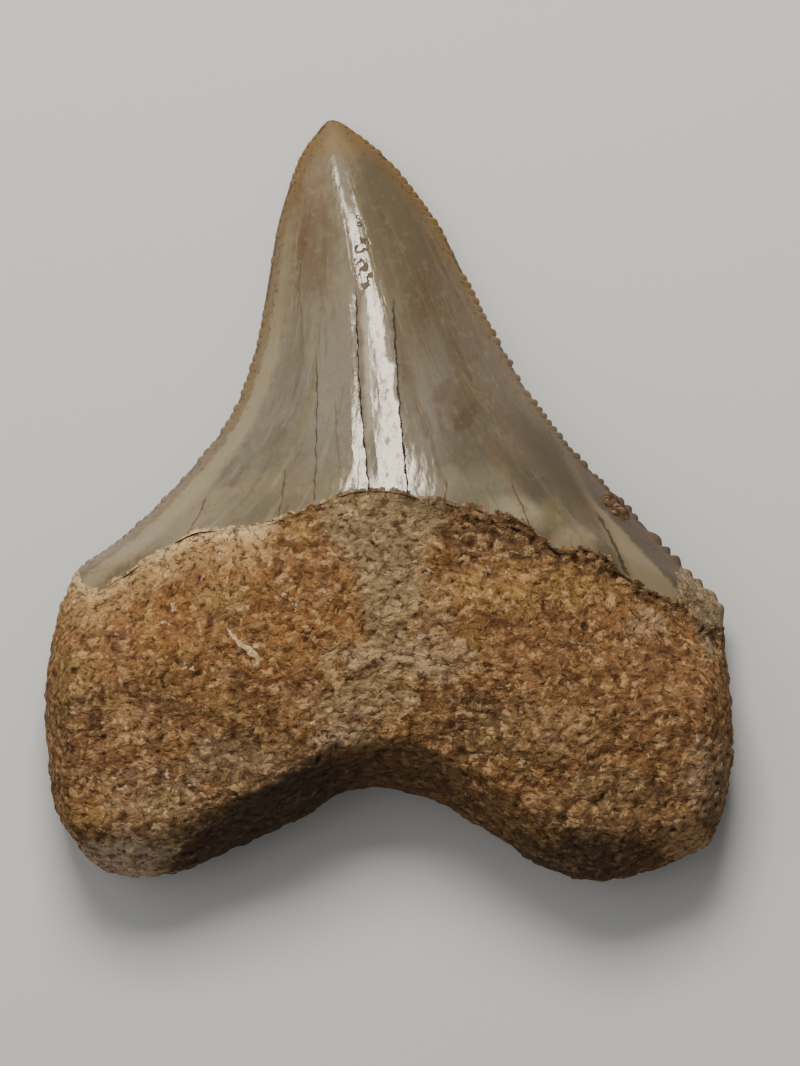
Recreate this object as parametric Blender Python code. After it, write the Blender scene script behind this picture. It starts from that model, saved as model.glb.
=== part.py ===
"""Fossil megalodon tooth, one solid, lying on its flat labial face with the rounded lingual face up.

Metres, +Z up. The tip points along +Y and the two root lobes along -Y. The origin is the middle of
the tooth's outline, on the plane that it rests on.

The tooth is two sheets, lingual (upper) and labial (lower), welded along its outline. Each sheet is a
grid: its columns run from root to tip, and its rows run across, through the root and then the crown.
"""

import bmesh
import bpy
import numpy as np
from mathutils import Vector, noise

MM = 0.001

# The outline from above, in millimetres: places of its corners, and the curves between them.
# The swell of the neck is a plain curve, which the enamel's own border crosses.
TIP = (-6.8, 45.9)
LEFT_SHOULDER = (-38.4, -9.8)
RIGHT_SHOULDER = (40.0, -15.2)
LEFT_CORNER = (-37.3, -41.6)
RIGHT_CORNER = (38.1, -41.3)
LEFT_CUTTING_EDGE = [
    LEFT_SHOULDER, (-37.2, -8.0), (-31.4, -3.8), (-24.6, 3.0), (-19.0, 10.3), (-16.0, 18.6),
    (-14.6, 26.4), (-13.3, 33.7), (-11.0, 40.8), (-9.0, 44.0), (-7.7, 45.6), TIP,
]
RIGHT_CUTTING_EDGE = [
    RIGHT_SHOULDER, (39.6, -12.4), (35.2, -8.1), (28.9, -1.3), (22.3, 5.5), (17.1, 12.1),
    (12.9, 19.3), (9.2, 26.5), (5.5, 33.6), (0.1, 40.6), (-3.8, 44.0), (-5.6, 45.4), TIP,
]
LEFT_MARGIN = [LEFT_CORNER, (-40.3, -35.8), (-41.3, -24.0), (-40.1, -14.6), LEFT_SHOULDER]
RIGHT_MARGIN = [RIGHT_CORNER, (39.8, -37.6), (41.1, -30.6), (40.7, -21.8), RIGHT_SHOULDER]
ROOT_BASE = [
    LEFT_CORNER, (-34.4, -44.1), (-30.2, -45.0), (-24.6, -44.2), (-18.1, -41.4),
    (-10.3, -37.7), (-5.2, -34.8), (0.0, -34.5), (5.3, -35.9), (11.4, -39.4),
    (17.8, -43.5), (24.0, -45.5), (31.5, -44.2), RIGHT_CORNER,
]
LINGUAL_NECK = [
    LEFT_SHOULDER, (-35.0, -10.9), (-28.1, -6.4), (-22.6, -3.7), (-15.8, -3.2), (-6.0, 0.5),
    (-1.8, 1.1), (3.0, 0.4), (15.4, -2.6), (19.4, -5.9), (24.6, -6.4), (28.6, -9.8),
    (34.3, -12.4), (37.6, -15.4), RIGHT_SHOULDER,
]
NECK_SWELL = [
    LEFT_SHOULDER, (-26.0, -6.4), (-14.0, -2.4), (-1.0, 0.8), (13.0, -2.8), (27.0, -8.4),
    RIGHT_SHOULDER,
]
LABIAL_NECK = [
    LEFT_SHOULDER, (-26.0, -9.6), (-12.0, -8.4), (0.0, -7.8), (12.0, -8.6), (26.0, -11.9),
    RIGHT_SHOULDER,
]

# Heights above the resting plane, in millimetres.
RIM_AT_TIP = 1.6
RIM_AT_SHOULDER = 5.2
RIM_AT_BASE = 6.5
CROWN_HEIGHT = 19.0
ROOT_HEIGHT = 22.6
LOBE_DROP = 4.6
BASE_DROP = 3.4
LABIAL_HOLLOW = 1.2
TIP_SINK = 0.2

# Powers of the curves: the crown's lingual profile towards its tip, and the fullness of its
# section, lingual at the neck and at the tip, and labial. A lower power is fuller.
CROWN_TAPER = 0.85
NECK_FULLNESS = 0.7
TIP_FULLNESS = 1.0
LABIAL_FULLNESS = 0.8

# Where the root starts to pass into the crown's section, in the middle and at the margins, as a
# share of the root's length.
NECK_START = 0.5
NECK_START_AT_MARGIN = 0.62

# Widths of the root's rounded margins and of the sloping face under its arch, in millimetres, and
# the width and height of the rounded lip that the slope starts from.
SIDE_ROUNDING = 4.5
BASE_SLOPE = 5.6
SLOPE_BLUNTING = 0.25
BASE_LIP = (3.0, 2.2)
LABIAL_ROUNDING = 5.0

# The enamel stands this far over the root at its lower border, in millimetres.
LEDGE = 0.4

# The flat that each lobe lies on, in millimetres.
LOBE_FLATS = [(-28.0, -33.5), (28.0, -34.0)]
FLAT_REACH = 13.0
FLAT_SINK = 0.9

# Relief of the root, in millimetres: noise as (wavelength, height), and hollows as
# (x, y, half width, half length, depth). It fades out at the outline, and is lower near the neck
# and on the labial face.
LUMPS = [(15.0, 1.0), (6.0, 0.6), (2.6, 0.4)]
HOLLOWS = [
    (-1.0, -9.0, 4.0, 7.0, 0.7), (0.5, -29.0, 7.0, 3.5, 0.8), (9.5, -4.4, 2.6, 1.2, 0.8),
    (14.5, -5.2, 1.9, 1.4, 0.7), (26.0, -9.6, 1.8, 1.6, 0.7), (-20.5, -19.5, 1.6, 2.4, 0.5),
]

RELIEF_FADE = 2.0
NECK_RELIEF = 0.4
LABIAL_RELIEF = 0.6

# Serrations of the cutting edges, in millimetres.
SERRATION_HEIGHT = {"left": 0.25, "right": 0.5}
SERRATION_PITCH = 1.07

COLUMNS = 44
ROOT_ROWS = 28
CROWN_ROWS = 24
NECK_ROWS = 9

ENAMEL_COLOUR = (0.24, 0.20, 0.15, 1.0)
ROOT_COLOUR = (0.18, 0.095, 0.035, 1.0)
WELD = 0.002 * MM


def smooth_line(points, samples=600):
    """A dense Catmull-Rom line through the points."""
    p = np.array([points[0], *points, points[-1]], float)
    p[0] = 2 * p[1] - p[2]
    p[-1] = 2 * p[-2] - p[-3]
    spans = len(points) - 1
    s = np.linspace(0, spans, samples)
    i = np.minimum(s.astype(int), spans - 1)
    t = (s - i)[:, None]
    a, b, c, d = p[i], p[i + 1], p[i + 2], p[i + 3]
    return 0.5 * (
        2 * b + (c - a) * t + (2 * a - 5 * b + 4 * c - d) * t**2 + (3 * b - a - 3 * c + d) * t**3
    )


def along(points, shares):
    """The points at these shares of the length of the smooth line."""
    line = smooth_line(points)
    steps = np.linalg.norm(np.diff(line, axis=0), axis=1)
    run = np.concatenate([[0], np.cumsum(steps)])
    at = np.asarray(shares) * run[-1]
    return np.stack([np.interp(at, run, line[:, k]) for k in (0, 1)], axis=-1)


def ease(x, start, end):
    """0 before start, 1 after end, and smooth between them."""
    t = np.clip((x - start) / (end - start), 0, 1)
    return t * t * (3 - 2 * t)


def rounded(distance, width):
    """Height share of a quarter-round margin at this distance from the outline."""
    inward = 1 - np.clip(distance / width, 0, 1)
    return np.sqrt(1 - inward**2)


def sloped(distance, width):
    """Height share of a slope that rises evenly from the outline and is blunted where it ends."""
    x = distance / width
    lean = np.clip(0.5 + (1 - x) / (2 * SLOPE_BLUNTING), 0, 1)
    return 1 + lean * (x - 1) - SLOPE_BLUNTING * lean * (1 - lean)


def column_shares():
    """Column positions from 0 to 1, half-way between even steps and steps that crowd the edges."""
    even = np.linspace(-1, 1, COLUMNS + 1)
    crowded = np.sin(even * np.pi / 2)
    return (1 + (even + crowded) / 2) / 2


def root_rows():
    """Row positions in the root from 0 at its base to 1 at the neck, closer near the base."""
    even = np.linspace(0, 1, ROOT_ROWS + 1)
    return even * (0.5 + 0.5 * even)


def crown_rows():
    """Row positions in the crown from 0 at the neck to 1 at the tip, closer near the tip."""
    even = np.linspace(0, 1, CROWN_ROWS + 1)
    return even * (1.4 - 0.4 * even)


def root_plan(neck):
    """(x, y) of the root's grid: a Coons patch between its base, its margins and the neck."""
    u, v = column_shares(), root_rows()
    base, top = along(ROOT_BASE, u), along(neck, u)
    left, right = along(LEFT_MARGIN, v), along(RIGHT_MARGIN, v)
    u, v = u[None, :, None], v[:, None, None]
    corners = (1 - v) * ((1 - u) * base[0] + u * base[-1]) + v * ((1 - u) * top[0] + u * top[-1])
    return (1 - v) * base + v * top + (1 - u) * left[:, None] + u * right[:, None] - corners


def crown_plan(neck):
    """(x, y) of the crown's grid: rows that start as the neck's curve and straighten to the tip."""
    u = column_shares()
    t = crown_rows()
    left, right = along(LEFT_CUTTING_EDGE, t)[:, None], along(RIGHT_CUTTING_EDGE, t)[:, None]
    curve = along(neck, u)
    u, t = u[None, :, None], t[:, None, None]
    sag = curve - ((1 - u[0]) * curve[0] + u[0] * curve[-1])
    return (1 - u) * left + u * right + sag * (1 - t) ** 1.5


def blade(across, t):
    """Height share across the crown: full in the middle, thinning to a cutting edge."""
    return (1 - across**2) ** (NECK_FULLNESS + (TIP_FULLNESS - NECK_FULLNESS) * t)


def relief(plan, side):
    """Lumps and hollows of the fossil root, in millimetres, from the place in the plan."""
    heights = np.zeros(plan.shape[:2])
    for wavelength, height in LUMPS:
        for row, col in np.ndindex(heights.shape):
            x, y = plan[row, col]
            heights[row, col] += height * noise.noise(Vector((x, y, 9 * side)) / wavelength)
    if side > 0:
        for x, y, half_width, half_length, depth in HOLLOWS:
            away = ((plan[..., 0] - x) / half_width) ** 2 + ((plan[..., 1] - y) / half_length) ** 2
            heights -= depth * np.exp(-away)
    return heights


def lobe_flats(plan):
    """1 on the two places of the labial face that the root lies on, easing to 0 round them."""
    near = [np.hypot(plan[..., 0] - x, plan[..., 1] - y) for x, y in LOBE_FLATS]
    return 1 - ease(np.minimum(*near), FLAT_REACH * 0.3, FLAT_REACH)


def way_to_tip(plan):
    """How far each point of the crown's grid is along its column, from 0 at the neck to 1 at the tip."""
    steps = np.linalg.norm(np.diff(plan, axis=0), axis=2)
    run = np.concatenate([np.zeros((1, plan.shape[1])), np.cumsum(steps, axis=0)])
    return run / run[-1]


def crown_heights(upper_plan, lower_plan):
    """Upper and lower heights of the crown's grid."""
    across = np.abs(2 * column_shares() - 1)[None, :]
    t = way_to_tip(upper_plan)
    rim = RIM_AT_TIP + (RIM_AT_SHOULDER - RIM_AT_TIP) * (1 - t)
    upper = rim + (CROWN_HEIGHT - RIM_AT_SHOULDER) * (1 - t) ** CROWN_TAPER * blade(across, t)
    t = way_to_tip(lower_plan)
    rim = RIM_AT_TIP + (RIM_AT_SHOULDER - RIM_AT_TIP) * (1 - t)
    hollow = LABIAL_HOLLOW * (1 - ease(t, 0.5, 0.9)) - TIP_SINK * ease(t, 0.7, 0.95)
    lower = rim - (rim - hollow) * (1 - across**2) ** LABIAL_FULLNESS * (1 - ease(t, 0.9, 1.0))
    return upper, lower


def root_heights(upper_plan, lower_plan):
    """Upper and lower heights of the root's grid."""
    across = np.abs(2 * column_shares() - 1)[None, :]
    v = root_rows()[:, None]
    rim = RIM_AT_BASE + (RIM_AT_SHOULDER - RIM_AT_BASE) * v
    neck = ease(v, NECK_START + (NECK_START_AT_MARGIN - NECK_START) * across**2, 1.0)
    heights = []
    for plan, side in ((upper_plan, 1), (lower_plan, -1)):
        to_base = np.linalg.norm(plan - plan[:1], axis=2)
        to_side = np.linalg.norm(plan - plan[:, :1], axis=2)
        to_side = np.minimum(to_side, np.linalg.norm(plan - plan[:, -1:], axis=2))
        inner = rounded(to_base, RELIEF_FADE) * rounded(to_side, RELIEF_FADE)
        rough = relief(plan, side) * inner * (1 - (1 - NECK_RELIEF) * neck)
        if side > 0:
            full = ROOT_HEIGHT - LOBE_DROP * across**1.5 - BASE_DROP * (1 - ease(v, 0.1, 0.8))
            slope = sloped(to_base, BASE_SLOPE)
            full = (full - rim) * slope + BASE_LIP[1] * rounded(to_base, BASE_LIP[0]) * (1 - slope)
            full = full * rounded(to_side, SIDE_ROUNDING)
            crown = (CROWN_HEIGHT - RIM_AT_SHOULDER) * blade(across, 0)
            heights.append(rim + (1 - neck) * full + neck * crown + rough)
        else:
            face = LABIAL_HOLLOW - (LABIAL_HOLLOW + FLAT_SINK) * lobe_flats(plan)
            root = rounded(to_side, LABIAL_ROUNDING) * rounded(to_base, LABIAL_ROUNDING)
            crown = (1 - across**2) ** LABIAL_FULLNESS
            drop = (1 - neck) * root + neck * crown
            rough = rough * LABIAL_RELIEF * (1 - lobe_flats(plan))
            heights.append(rim - (rim - face) * drop + rough)
    return heights


def whole(root, crown):
    """The root's rows and then the crown's, which share the row at the neck."""
    return np.concatenate([root[:-1], crown])


def slide_to_border(grid):
    """Slides the rows near the neck along their columns, so that the neck row lies on the border."""
    border = smooth_line(LINGUAL_NECK)
    rows = np.arange(len(grid))
    near = slice(ROOT_ROWS - NECK_ROWS, ROOT_ROWS + NECK_ROWS)
    for column in range(1, COLUMNS):
        x, y = grid[near, column, 0], grid[near, column, 1]
        above = np.maximum.accumulate(y - np.interp(x, border[:, 0], border[:, 1]))
        slide = np.interp(0, above, rows[near]) - ROOT_ROWS
        at = rows + slide * (1 - ease(np.abs(rows - ROOT_ROWS), 0, NECK_ROWS))
        for k in range(3):
            grid[:, column, k] = np.interp(at, rows, grid[:, column, k])


def ledge():
    """The step from the enamel down to the root, for every point inside the root's grid."""
    step = np.zeros((ROOT_ROWS + CROWN_ROWS + 1, COLUMNS + 1))
    step[1:ROOT_ROWS, 1:-1] = LEDGE
    return step


def in_metres(grid):
    """The grid's points in metres, none of them below the resting plane."""
    grid[..., 2] = np.maximum(grid[..., 2], 0)
    return grid * MM


def add_sheet(bm, points, rim_row, flip):
    """Adds a grid, moves it to the points and marks which row each outline point is on."""
    rows, columns = points.shape[0] - 1, points.shape[1] - 1
    made = bmesh.ops.create_grid(bm, x_segments=columns, y_segments=rows, size=1)
    faces = {face for vert in made["verts"] for face in vert.link_faces}
    for face in faces:
        row = (face.calc_center_median().y + 1) / 2 * rows
        face.material_index = int(row > ROOT_ROWS)
    for vert in made["verts"]:
        column = round((vert.co.x + 1) / 2 * columns)
        row = round((vert.co.y + 1) / 2 * rows)
        vert.co = points[row, column]
        if column in (0, columns):
            vert[rim_row] = row + 1
    if flip:
        bmesh.ops.reverse_faces(bm, faces=list(faces))


def cut_serrations(bm, rim_row):
    """Divides the outline's edges along the crown and draws every second point outwards."""
    rim_edges = [
        edge
        for edge in bm.edges
        if all(v[rim_row] > ROOT_ROWS for v in edge.verts)
        and abs(edge.verts[0][rim_row] - edge.verts[1][rim_row]) == 1
    ]
    for edge in rim_edges:
        low, high = sorted(edge.verts, key=lambda v: v[rim_row])
        start, run = low.co.copy(), high.co - low.co
        side = "left" if start.x < TIP[0] * MM else "right"
        serrations = max(1, round(run.length / (SERRATION_PITCH * MM)))
        made = bmesh.ops.subdivide_edges(bm, edges=[edge], cuts=2 * serrations - 1)
        new = [g for g in made["geom_inner"] if isinstance(g, bmesh.types.BMVert)]
        new.sort(key=lambda v: (v.co - start).length)
        outward = Vector((run.y, -run.x, 0)).normalized() * (-1 if side == "left" else 1)
        for vert in new[::2]:
            uneven = 0.75 + 0.5 * noise.noise(vert.co / MM * 0.9)
            vert.co += outward * SERRATION_HEIGHT[side] * uneven * MM


def material(name, colour, roughness):
    made = bpy.data.materials.new(name)
    made.use_nodes = True
    shader = made.node_tree.nodes["Principled BSDF"]
    shader.inputs["Base Color"].default_value = colour
    shader.inputs["Roughness"].default_value = roughness
    shader.inputs["Metallic"].default_value = 0.0
    return made


def build_tooth():
    upper_root, lower_root = root_plan(NECK_SWELL), root_plan(LABIAL_NECK)
    upper_crown, lower_crown = crown_plan(NECK_SWELL), crown_plan(LABIAL_NECK)
    upper_root_heights, lower_root_heights = root_heights(upper_root, lower_root)
    upper_crown_heights, lower_crown_heights = crown_heights(upper_crown, lower_crown)
    upper = np.dstack([
        whole(upper_root, upper_crown), whole(upper_root_heights, upper_crown_heights)
    ])
    lower = np.dstack([
        whole(lower_root, lower_crown), whole(lower_root_heights, lower_crown_heights)
    ])
    slide_to_border(upper)
    upper[..., 2] -= ledge()
    lower[..., 2] += ledge()
    bm = bmesh.new()
    rim_row = bm.verts.layers.int.new("rim_row")
    add_sheet(bm, in_metres(upper), rim_row, flip=False)
    add_sheet(bm, in_metres(lower), rim_row, flip=True)
    bmesh.ops.remove_doubles(bm, verts=bm.verts, dist=WELD)
    cut_serrations(bm, rim_row)
    bmesh.ops.triangulate(bm, faces=bm.faces)
    mesh = bpy.data.meshes.new("megalodon_tooth")
    bm.to_mesh(mesh)
    bm.free()
    mesh.materials.append(material("fossil_root", ROOT_COLOUR, 0.85))
    mesh.materials.append(material("enamel", ENAMEL_COLOUR, 0.3))
    mesh.shade_smooth()
    tooth = bpy.data.objects.new("megalodon_tooth", mesh)
    collection = bpy.data.collections.new("megalodon_tooth")
    bpy.context.scene.collection.children.link(collection)
    collection.objects.link(tooth)


for old in list(bpy.data.objects):
    bpy.data.objects.remove(old, do_unlink=True)
build_tooth()
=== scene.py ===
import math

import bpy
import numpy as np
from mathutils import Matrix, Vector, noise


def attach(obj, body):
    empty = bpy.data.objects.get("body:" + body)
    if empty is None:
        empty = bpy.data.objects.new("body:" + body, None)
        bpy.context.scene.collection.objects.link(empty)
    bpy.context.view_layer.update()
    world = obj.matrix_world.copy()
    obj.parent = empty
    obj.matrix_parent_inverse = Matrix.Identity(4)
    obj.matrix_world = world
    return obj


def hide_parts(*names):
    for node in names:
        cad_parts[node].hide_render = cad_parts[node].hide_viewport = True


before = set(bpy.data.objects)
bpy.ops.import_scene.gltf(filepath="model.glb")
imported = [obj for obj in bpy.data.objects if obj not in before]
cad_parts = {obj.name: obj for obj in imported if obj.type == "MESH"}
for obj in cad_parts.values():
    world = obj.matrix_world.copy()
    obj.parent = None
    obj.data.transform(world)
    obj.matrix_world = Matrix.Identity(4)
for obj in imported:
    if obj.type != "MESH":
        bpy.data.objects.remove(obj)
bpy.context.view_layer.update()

# Looks of the fossil megalodon tooth: an enamel crown with serrated cutting edges and lengthwise
# cracks, over a grainy root with two lobes. The tooth lies on its labial face, tip towards +Y, and
# the lingual face looks up. Lengths are in millimetres until a mesh or a light is made.

MM = 0.001

# ---------------------------------------------------------------------------------- the tooth's form

# The outline from above: corners, and the curves between them. The swell of the neck is a plain
# curve, which the enamel's own border crosses.
TIP = (-6.8, 45.9)
LEFT_SHOULDER = (-38.4, -9.8)
RIGHT_SHOULDER = (40.0, -15.2)
LEFT_CORNER = (-37.3, -41.6)
RIGHT_CORNER = (38.1, -41.3)
LEFT_CUTTING_EDGE = [
    LEFT_SHOULDER, (-37.2, -8.0), (-31.4, -3.8), (-24.6, 3.0), (-19.0, 10.3), (-16.0, 18.6),
    (-14.6, 26.4), (-13.3, 33.7), (-11.0, 40.8), (-9.0, 44.0), (-7.7, 45.6), TIP,
]
RIGHT_CUTTING_EDGE = [
    RIGHT_SHOULDER, (39.6, -12.4), (35.2, -8.1), (28.9, -1.3), (22.3, 5.5), (17.1, 12.1),
    (12.9, 19.3), (9.2, 26.5), (5.5, 33.6), (0.1, 40.6), (-3.8, 44.0), (-5.6, 45.4), TIP,
]
LEFT_MARGIN = [LEFT_CORNER, (-40.3, -35.8), (-41.3, -24.0), (-40.1, -14.6), LEFT_SHOULDER]
RIGHT_MARGIN = [RIGHT_CORNER, (39.8, -37.6), (41.1, -30.6), (40.7, -21.8), RIGHT_SHOULDER]
ROOT_BASE = [
    LEFT_CORNER, (-34.4, -44.1), (-30.2, -45.0), (-24.6, -44.2), (-18.1, -41.4),
    (-10.3, -37.7), (-5.2, -34.8), (0.0, -34.5), (5.3, -35.9), (11.4, -39.4),
    (17.8, -43.5), (24.0, -45.5), (31.5, -44.2), RIGHT_CORNER,
]
LINGUAL_NECK = [
    LEFT_SHOULDER, (-35.0, -10.9), (-28.1, -6.4), (-22.6, -3.7), (-15.8, -3.2), (-6.0, 0.5),
    (-1.8, 1.1), (3.0, 0.4), (15.4, -2.6), (19.4, -5.9), (24.6, -6.4), (28.6, -9.8),
    (34.3, -12.4), (37.6, -15.4), RIGHT_SHOULDER,
]
NECK_SWELL = [
    LEFT_SHOULDER, (-26.0, -6.4), (-14.0, -2.4), (-1.0, 0.8), (13.0, -2.8), (27.0, -8.4),
    RIGHT_SHOULDER,
]
LABIAL_NECK = [
    LEFT_SHOULDER, (-26.0, -9.6), (-12.0, -8.4), (0.0, -7.8), (12.0, -8.6), (26.0, -11.9),
    RIGHT_SHOULDER,
]

# Heights above the floor.
RIM_AT_TIP = 1.6
RIM_AT_SHOULDER = 5.2
RIM_AT_BASE = 6.5
CROWN_HEIGHT = 19.0
ROOT_HEIGHT = 22.6
LOBE_DROP = 4.6
BASE_DROP = 3.4
LABIAL_HOLLOW = 1.2
TIP_SINK = 0.2

# How far the crest of the crown lies to the left near the tip, as a share of the half width.
CREST_SHIFT = 0.09

# Powers of the crown's profile and sections, and where the root starts to pass into the crown.
CROWN_TAPER = 0.85
NECK_FULLNESS = 0.7
TIP_FULLNESS = 1.0
LABIAL_FULLNESS = 0.8
NECK_START = 0.5
NECK_START_AT_MARGIN = 0.62

# Rounded margins of the root, the sloping face under its arch, and the places that it lies on.
SIDE_ROUNDING = 4.5
BASE_SLOPE = 5.6
SLOPE_BLUNTING = 0.25
BASE_LIP = (3.0, 2.2)
LABIAL_ROUNDING = 5.0
LOBE_FLATS = [(-28.0, -33.5), (28.0, -34.0)]
FLAT_REACH = 13.0
FLAT_SINK = 0.9

# Relief of the root: noise as (wavelength, height), and hollows as (x, y, half width, half length,
# depth).
LUMPS = [(15.0, 1.0), (6.0, 0.6), (2.6, 0.4)]
HOLLOWS = [
    (-1.0, -9.0, 4.0, 7.0, 0.7), (0.5, -29.0, 7.0, 3.5, 0.8), (9.5, -4.4, 2.6, 1.2, 0.8),
    (14.5, -5.2, 1.9, 1.4, 0.7), (26.0, -9.6, 1.8, 1.6, 0.7), (-20.5, -19.5, 1.6, 2.4, 0.5),
]
RELIEF_FADE = 2.0
BASAL_FOLD = [
    (-30.0, -50.0), (-28.0, -46.5), (-26.0, -43.2), (-22.8, -39.5), (-17.8, -35.5),
    (-14.0, -33.2), (-10.8, -31.8), (-4.2, -30.3), (-1.0, -28.8), (1.2, -27.6), (3.4, -28.2),
    (5.3, -30.4), (8.0, -33.6), (10.7, -36.4), (14.8, -38.4), (18.9, -40.8), (22.6, -39.3),
    (28.0, -39.5), (31.0, -41.3), (34.0, -43.4), (36.2, -47.0),
]
CRUMBLED = [(11.6, -3.8, 4.8, 1.7), (25.6, -8.0, 2.3, 1.4), (15.5, -5.5, 3.0, 1.6)]
NECK_RELIEF = 0.4
LABIAL_RELIEF = 0.6

# The enamel stands this far over the root, and its edge and the root under it reach this far past
# the border.
LEDGE = 0.22
ENAMEL_EDGE = 1.4
ROOT_UNDER_ENAMEL = 0.09

# Serrations: pitch along the cutting edge, and how far each stands out.
SERRATION_PITCH = 1.07
SERRATION_HEIGHT = {"left": 0.24, "right": 0.44}
SERRATION_REACH = 0.75

# A broken and crusted place on the right cutting edge, as ovals: x, y, half width, half length.
DAMAGE = [(26.4, 0.1, 0.85, 0.75), (27.3, -0.9, 0.8, 0.8), (28.1, -1.7, 0.6, 0.6)]

# Grids: columns and rows of the root and of the crown.
ROOT_GRID = (290, 156)
CROWN_GRID = (100, 460)
NECK_BAND = 9.0


def smooth_line(points, samples=1200):
    """A dense Catmull-Rom line through the points."""
    p = np.array([points[0], *points, points[-1]], float)
    p[0] = 2 * p[1] - p[2]
    p[-1] = 2 * p[-2] - p[-3]
    spans = len(points) - 1
    s = np.linspace(0, spans, samples)
    i = np.minimum(s.astype(int), spans - 1)
    t = (s - i)[:, None]
    a, b, c, d = p[i], p[i + 1], p[i + 2], p[i + 3]
    return 0.5 * (
        2 * b + (c - a) * t + (2 * a - 5 * b + 4 * c - d) * t**2 + (3 * b - a - 3 * c + d) * t**3
    )


def length_of(points):
    return np.linalg.norm(np.diff(smooth_line(points), axis=0), axis=1).sum()


def along(points, shares):
    """The points at these shares of the length of the smooth line."""
    line = smooth_line(points)
    steps = np.linalg.norm(np.diff(line, axis=0), axis=1)
    run = np.concatenate([[0], np.cumsum(steps)])
    at = np.asarray(shares) * run[-1]
    return np.stack([np.interp(at, run, line[:, k]) for k in (0, 1)], axis=-1)


def ease(x, start, end):
    """0 before start, 1 after end, and smooth between them."""
    t = np.clip((x - start) / (end - start), 0, 1)
    return t * t * (3 - 2 * t)


def rounded(distance, width):
    """Height share of a quarter-round margin at this distance from the outline."""
    inward = 1 - np.clip(distance / width, 0, 1)
    return np.sqrt(1 - inward**2)


def sloped(distance, width):
    """Height share of a slope that rises evenly from the outline and is blunted where it ends."""
    x = distance / width
    lean = np.clip(0.5 + (1 - x) / (2 * SLOPE_BLUNTING), 0, 1)
    return 1 + lean * (x - 1) - SLOPE_BLUNTING * lean * (1 - lean)


def noise_at(points, wavelength, seed=0.0, octaves=1):
    """Noise from about -1 to 1 at an array of points, whose last axis holds x, y and z."""
    flat = points.reshape(-1, 3) / wavelength + seed
    values = [noise.fractal(Vector(p), 1.0, 2.0, octaves) for p in flat]
    return np.array(values).reshape(points.shape[:-1])


def cells_at(points, size, seed=0.0):
    """Distance to the middle of the nearest cell, from 0 to about 1, at an array of points."""
    flat = points.reshape(-1, 3) / size + seed
    values = [noise.voronoi(Vector(p))[0][0] for p in flat]
    return np.array(values).reshape(points.shape[:-1])


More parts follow.
